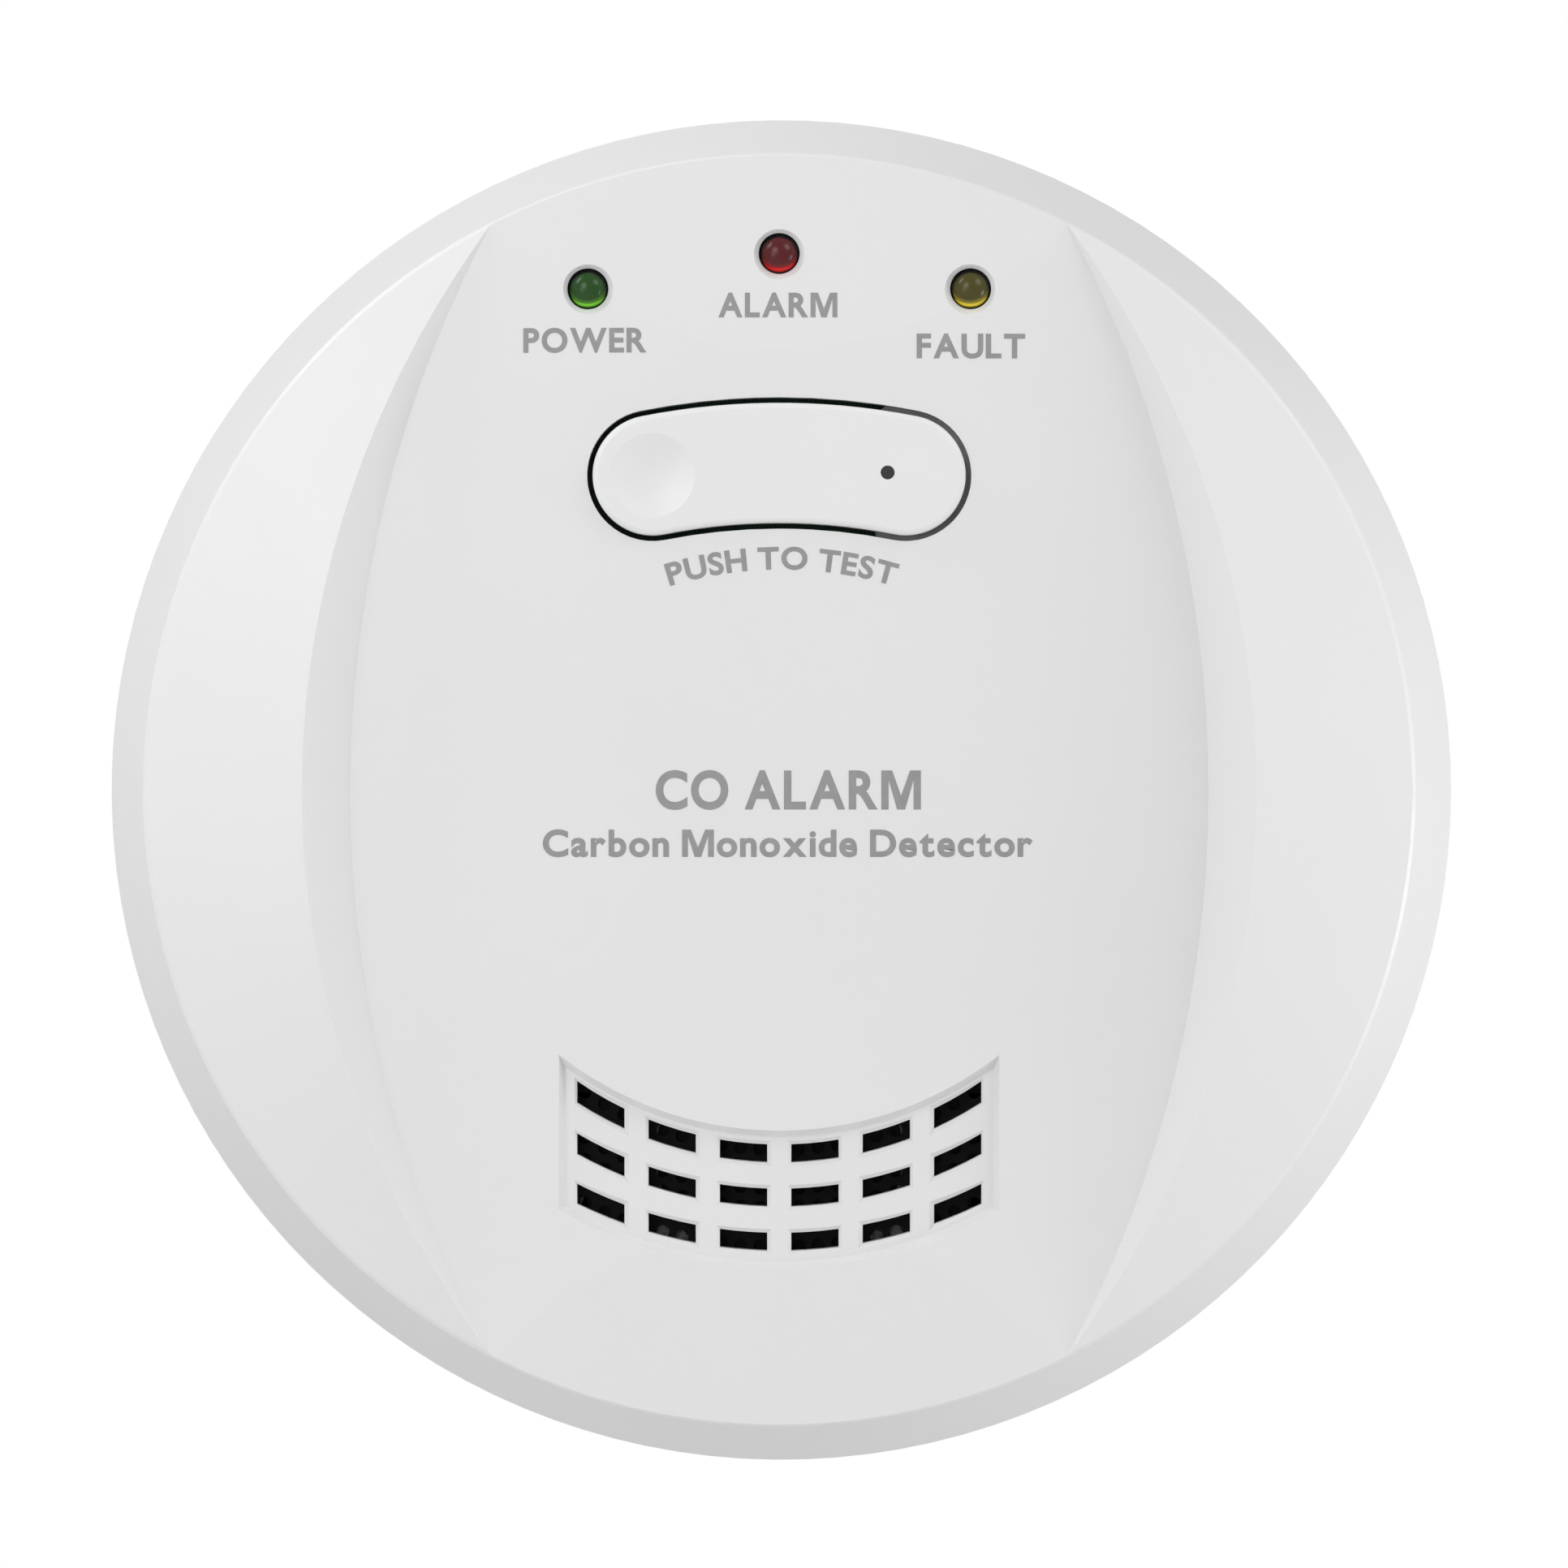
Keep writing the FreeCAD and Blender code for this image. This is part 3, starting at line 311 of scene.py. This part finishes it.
def capital_m():
    """A bold M with upright legs, in the same units as the other letters."""
    cap = CAP_HEIGHT
    half = 0.42
    stem = 0.155
    outline = [
        (-half, 0), (-half, cap), (-half + 0.23, cap), (0, 0.26), (half - 0.23, cap), (half, cap),
        (half, 0), (half - stem, 0), (half - stem, cap * 0.76), (0.085, 0), (-0.085, 0),
        (-half + stem, cap * 0.76), (-half + stem, 0),
    ]
    letter = bmesh.new()
    face = letter.faces.new([letter.verts.new((x, y, -0.5)) for x, y in outline])
    raised = bmesh.ops.extrude_face_region(letter, geom=[face])
    moved = [item for item in raised["geom"] if isinstance(item, bmesh.types.BMVert)]
    bmesh.ops.translate(letter, verts=moved, vec=(0, 0, 1))
    flat = [item for item in letter.faces if abs(item.normal.z) > 0.5]
    bmesh.ops.triangulate(letter, faces=flat)
    mesh = bpy.data.meshes.new("letter")
    letter.to_mesh(mesh)
    letter.free()
    return mesh


def letter_mesh(words, width, cap_height):
    """Bold sans letters in a row, width by cap_height, centred on x with the baseline at y = 0."""
    row = bmesh.new()
    pen = 0.0
    for character in words:
        if character == " ":
            pen += LETTER_SPACE
            continue
        mesh = glyph_mesh(character)
        low_x = min(vertex.co.x for vertex in mesh.vertices)
        high_x = max(vertex.co.x for vertex in mesh.vertices)
        mesh.transform(Matrix.Translation((pen - low_x, 0, 0)))
        if character != "M":
            mesh.transform(Matrix.Translation((0, LETTER_BOLDNESS, 0)))
        row.from_mesh(mesh)
        bpy.data.meshes.remove(mesh)
        pen += high_x - low_x + LETTER_GAP
    pen -= LETTER_GAP
    bmesh.ops.translate(row, verts=row.verts, vec=(-pen / 2.0, 0, 0))
    bmesh.ops.scale(row, verts=row.verts, vec=(width / pen, cap_height / CAP_HEIGHT, 1))
    mesh = bpy.data.meshes.new("letters")
    row.to_mesh(mesh)
    row.free()
    return mesh


def printed_words(name, words, middle_x, baseline_z, width, cap_height, material, surface, arc_r=None):
    """Thin ink letters laid on the face, straight or along an arc whose middle is highest."""
    mesh = letter_mesh(words, width, cap_height)
    for vertex in mesh.vertices:
        x, height, depth = vertex.co
        if arc_r:
            angle = x / arc_r
            x = (arc_r + height) * math.sin(angle)
            height = (arc_r + height) * math.cos(angle) - arc_r
        place_x = middle_x + x
        place_z = baseline_z + height
        hit = surface.ray_cast(Vector((place_x, -1.0, place_z)), Vector((0, 1, 0)))[0]
        top = hit.y + INK_SINK - INK_THICKNESS
        bottom = hit.y + INK_SINK
        vertex.co = (place_x, top if depth > 0 else bottom, place_z)
    solid = bmesh.new()
    solid.from_mesh(mesh)
    bmesh.ops.remove_doubles(solid, verts=solid.verts, dist=1e-7)
    bmesh.ops.recalc_face_normals(solid, faces=solid.faces)
    solid.to_mesh(mesh)
    solid.free()
    return new_piece(name, mesh, "head", material)


def legends(surface):
    ink = ink_finish("grey_ink", (0.27, 0.27, 0.275))
    rows = [
        ("legend_power", "POWER", -14.95, 33.65, 9.5, 1.9, None),
        ("legend_alarm", "ALARM", -0.1, 36.35, 9.15, 1.9, None),
        ("legend_fault", "FAULT", 14.75, 33.2, 8.35, 1.9, None),
        ("legend_test", "PUSH TO TEST", 0.2, 16.95, 17.4, 1.75, TEST_ARC_R),
        ("legend_name", "CO ALARM", 0.7, -1.5, 20.4, 3.0, None),
        ("legend_kind", "Carbon Monoxide Detector", 0.65, -5.15, 37.7, 2.1, None),
    ]
    for name, words, x, z, width, height, arc in rows:
        printed_words(name, words, x * MM, z * MM, width * MM, height * MM, ink, surface, arc)


def soft_copy(name, node, body, material, rounding):
    """Foam or felt in place of its plain CAD solid: same room, with rounded edges and an uneven skin."""
    piece = new_piece(name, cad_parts[node].data.copy(), body, material)
    welded = piece.modifiers.new("welded", "WELD")
    welded.merge_threshold = 0.002 * MM
    edges = piece.modifiers.new("edges", "BEVEL")
    edges.width = rounding
    edges.segments = 4
    edges.limit_method = "ANGLE"
    edges.angle_limit = math.radians(40)
    evaluated = piece.evaluated_get(bpy.context.evaluated_depsgraph_get())
    mesh = bpy.data.meshes.new_from_object(evaluated)
    piece.modifiers.clear()
    piece.data = mesh
    for vertex in mesh.vertices:
        unevenness = noise_vector(vertex.co * FOAM_PORE_SCALE)
        vertex.co -= vertex.normal * FOAM_PORE_DEPTH * abs(unevenness.x)
    mesh.materials.clear()
    mesh.materials.append(material)
    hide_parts(node)
    return piece


def soft_pieces():
    foam = foam_finish("grey_foam", (0.06, 0.06, 0.063))
    felt = foam_finish("white_felt", (0.6, 0.6, 0.57))
    soft_copy("door_foam_strips", "door_foam", "battery_door", foam, 0.22 * MM)
    soft_copy("sounder_foam_ring", "sounder_gasket", "head", foam, 0.1 * MM)
    soft_copy("sensor_felt_disc", "sensor_filter", "head", felt, 0.18 * MM)


# ------------------------------------------------------------------ finishes for the CAD nodes

def node_materials():
    """Material for every CAD node."""
    shell = white_plastic("shell_white", (0.72, 0.72, 0.72))
    button = white_plastic("button_white", (0.74, 0.74, 0.74))
    bracket = white_plastic("bracket_white", (0.68, 0.68, 0.665))
    black = plain_finish("black_plastic", (0.02, 0.02, 0.021), 0.45)
    matt_black = plain_finish("matt_black", (0.003, 0.003, 0.003), 0.5, grain=6000.0)
    matt_black.node_tree.nodes["Principled BSDF"].inputs["Specular IOR Level"].default_value = 0.08
    steel = brushed_metal("zinc_steel", (0.6, 0.6, 0.58))
    tin = brushed_metal("tinned_metal", (0.72, 0.71, 0.68), 0.25)
    nickel = brushed_metal("nickel_plate", (0.66, 0.63, 0.58), 0.2)
    chip = plain_finish("chip_epoxy", (0.02, 0.02, 0.022), 0.55)
    ivory = plain_finish("ivory_plastic", (0.66, 0.65, 0.6), 0.45)
    green, red, yellow = lamp_centres()
    return {
        "front_cover": shell,
        "rear_cover": shell,
        "battery_door": shell,
        "mounting_bracket": bracket,
        "test_button": button,
        "insect_mesh": matt_black,
        "cover_screws": steel,
        "board_screws": steel,
        "button_hinge_pin": steel,
        "clock_crystal": steel,
        "switch_frame": steel,
        "sensor_can": steel,
        "rating_label": plain_finish("label_stock", (0.55, 0.56, 0.58), 0.35, vary=0.03),
        "switch_base": black,
        "switch_plunger": black,
        "lamp_spacers": black,
        "sensor_base": black,
        "sounder_case": black,
        "sounder_cap": matt_black,
        "switch_legs": tin,
        "lamp_leads": tin,
        "controller_pins": tin,
        "sensor_pins": tin,
        "contact_springs": nickel,
        "contact_link": nickel,
        "contact_terminals": nickel,
        "main_board": circuit_board_finish(),
        "controller_chip": chip,
        "resistors": chip,
        "ceramic_capacitors": plain_finish("tan_ceramic", (0.34, 0.21, 0.11), 0.5),
        "buffer_capacitors": plain_finish("blue_sleeve", (0.01, 0.02, 0.09), 0.3),
        "step_up_coil": plain_finish("ferrite", (0.03, 0.03, 0.03), 0.6),
        "coil_winding": plain_finish("copper_wire", (0.6, 0.2, 0.06), 0.3, metallic=1.0, patch=2000.0),
        "sensor_filter": foam_finish("filter_felt", (0.6, 0.6, 0.57)),
        "sensor_cell": ivory,
        "lead_plug": ivory,
        "sounder_gasket": foam_finish("gasket_foam", (0.06, 0.06, 0.063)),
        "door_foam": foam_finish("door_foam_grey", (0.06, 0.06, 0.063)),
        "piezo_plate": brushed_metal("brass", (0.7, 0.5, 0.2), 0.28),
        "piezo_ceramic": plain_finish("silvered_ceramic", (0.62, 0.61, 0.57), 0.4),
        "sounder_lead_red": plain_finish("red_wire", (0.42, 0.01, 0.008), 0.4),
        "sounder_lead_black": plain_finish("black_wire", (0.015, 0.015, 0.015), 0.4),
        "battery_cells": plain_finish("cell_jacket", (0.035, 0.038, 0.045), 0.3, vary=0.15),
        # The last colour of each lens is its painted glow, a painted highlight.
        "power_lamp_green": lens_finish("lens_green", green, (0.013, 0.06, 0.008), (0.25, 0.75, 0.05)),
        "alarm_lamp_red": lens_finish("lens_red", red, (0.085, 0.008, 0.01), (0.85, 0.02, 0.02)),
        "fault_lamp_yellow": lens_finish("lens_yellow", yellow, (0.06, 0.052, 0.008), (0.95, 0.75, 0.05)),
    }


def dress_nodes():
    for name, material in node_materials().items():
        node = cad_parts[name]
        for holder in node.material_slots:
            holder.material = material


# ------------------------------------------------------------------ floor, lights and camera

def make_floor():
    """Round pale floor well below the alarm."""
    plate = bmesh.new()
    bmesh.ops.create_circle(plate, cap_ends=True, radius=FLOOR_R, segments=96)
    mesh = bpy.data.meshes.new("floor")
    plate.to_mesh(mesh)
    plate.free()
    floor = bpy.data.objects.new("floor", mesh)
    floor.location = (0, 0, -FLOOR_DROP)
    bpy.context.scene.collection.objects.link(floor)
    paint = plain_finish("floor_paint", (0.8, 0.8, 0.8), 0.8, vary=0.01, patch=3.0, grain=300.0)
    mesh.materials.append(paint)


def studio_light(name, place, size, power):
    """Round soft light aimed at the middle of the alarm."""
    lamp = bpy.data.lights.new(name, "AREA")
    lamp.shape = "DISK"
    lamp.size = size
    lamp.energy = power
    holder = bpy.data.objects.new(name, lamp)
    holder.location = place
    aim = LIGHT_AIM - Vector(place)
    holder.rotation_euler = aim.to_track_quat("-Z", "Y").to_euler()
    holder.visible_camera = False
    bpy.context.scene.collection.objects.link(holder)


def make_lights():
    studio_light("key_upper_left", (-0.284, -0.593, 0.284), LIGHT_SIZE, 1.09)
    studio_light("fill_left", (-0.40, -0.593, 0.0), LIGHT_SIZE, 0.53)
    studio_light("fill_upper_right", (0.449, -0.316, 0.449), LIGHT_SIZE, 0.90)
    studio_light("edge_upper_left", (-0.495, -0.044, 0.495), LIGHT_SIZE, 1.5)
    studio_light("edge_right", (0.25, -0.05, -0.04), 0.10, 0.205)


def make_world():
    """Pale surroundings with a white glow straight behind the alarm."""
    world = bpy.data.worlds.new("studio")
    world.use_nodes = True
    tree = world.node_tree
    direction = tree.nodes.new("ShaderNodeTexCoord").outputs["Generated"]
    split = tree.nodes.new("ShaderNodeSeparateXYZ")
    tree.links.new(direction, split.inputs["Vector"])
    backward = remap(tree, split.outputs["Y"], 0.93, 0.98)
    colour = ramp(tree, backward, [(0.0, SURROUNDINGS), (1.0, WHITE)])
    background = tree.nodes["Background"]
    tree.links.new(colour, background.inputs["Color"])
    background.inputs["Strength"].default_value = 1.0
    bpy.context.scene.world = world


def make_camera():
    camera = bpy.data.objects.new("camera", bpy.data.cameras.new("camera"))
    camera.data.sensor_width = 36.0
    camera.data.lens = CAMERA_LENS
    camera.data.clip_start = 0.05
    camera.data.clip_end = 20.0
    camera.location = (CAMERA_SIDE, -CAMERA_DISTANCE, 0)
    aim = Vector(CAMERA_AIM) - camera.location
    camera.rotation_euler = aim.to_track_quat("-Z", "Y").to_euler()
    bpy.context.scene.collection.objects.link(camera)
    bpy.context.scene.camera = camera


def make_scene():
    make_camera()
    make_world()
    make_lights()
    make_floor()
    dress_nodes()
    legends(face_surface())
    soft_pieces()
    bpy.context.scene.view_settings.view_transform = "Standard"


make_scene()
